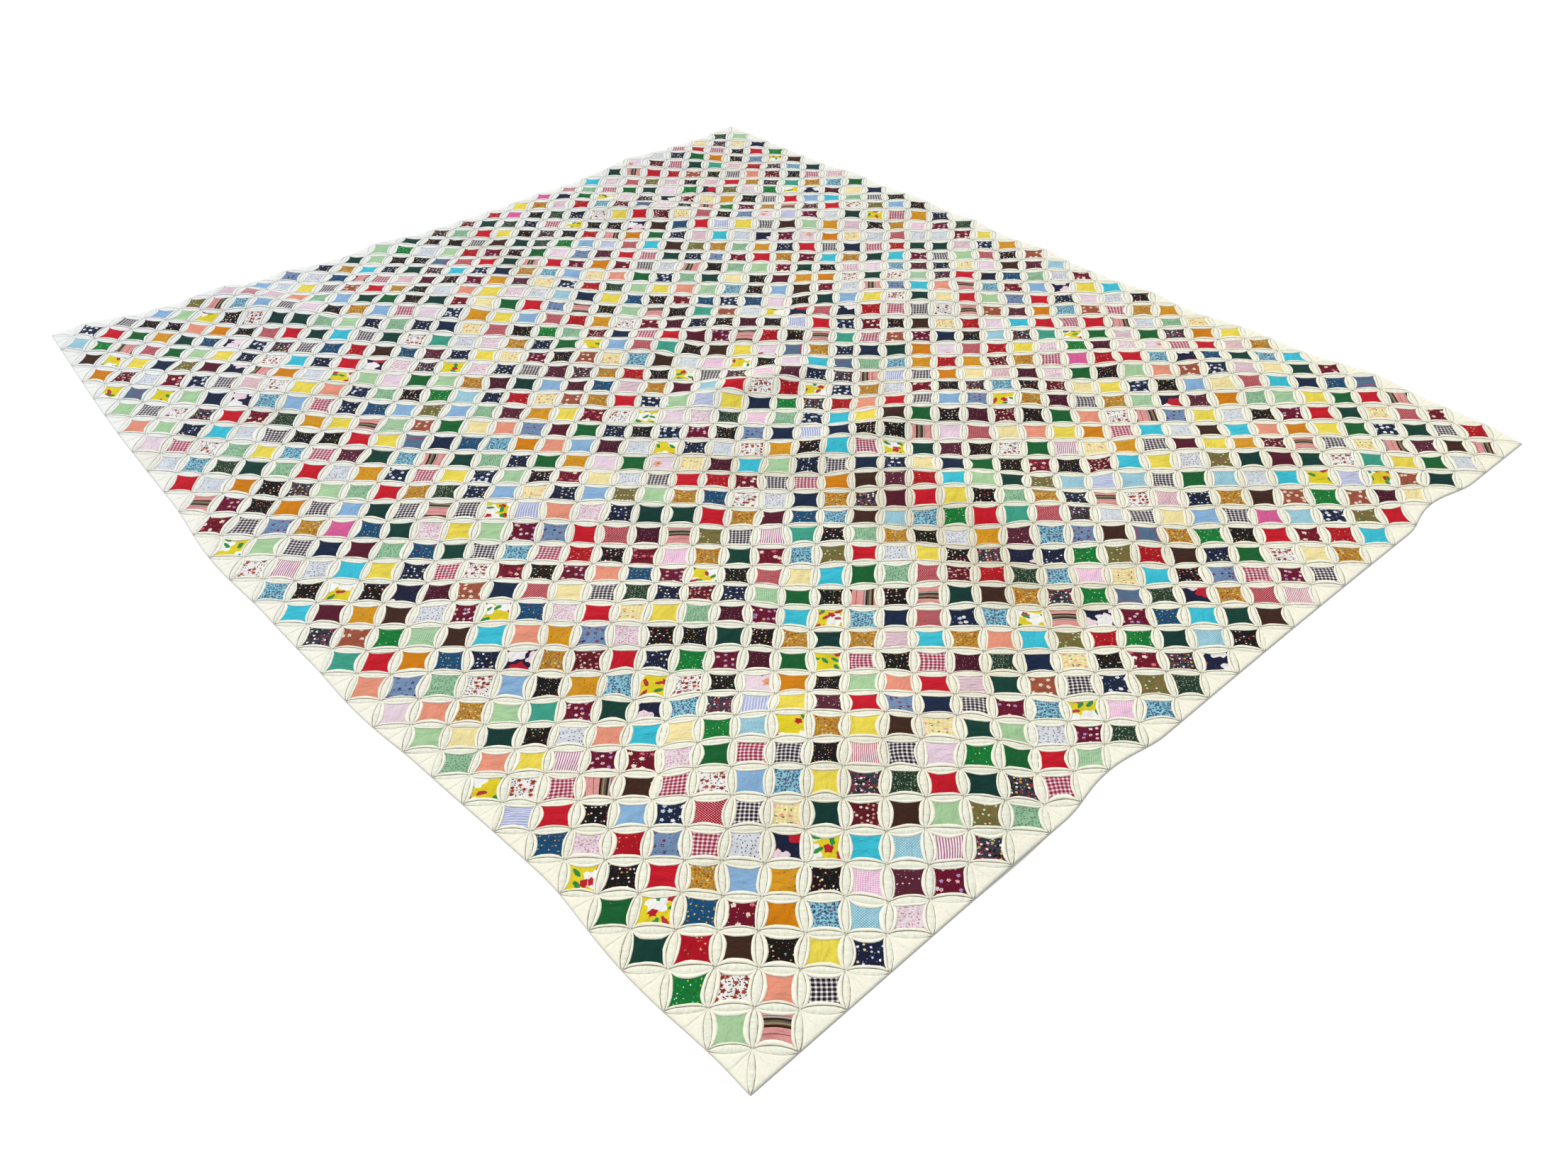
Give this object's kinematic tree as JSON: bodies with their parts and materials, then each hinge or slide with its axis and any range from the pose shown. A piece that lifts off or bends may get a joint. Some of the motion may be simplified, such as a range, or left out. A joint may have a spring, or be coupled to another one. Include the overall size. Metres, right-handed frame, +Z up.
{
  "type": "patchwork quilt",
  "caption": "Cathedral window patchwork quilt: folded muslin blocks with curved rolled rims round small cotton patches, spread out flat with soft uneven folds.",
  "frame": {"origin": "on the floor, under the middle of the box round the quilt's outline", "axes": "+X along the long side, +Y along the short side, +Z up from the floor"},
  "size_m": [2.4038, 1.9636, 0.0243],
  "materials": {
    "muslin": "matte plain-woven unbleached cotton"
  },
  "bodies": {
    "root": {"quilt": "muslin"}
  },
  "joints": []
}
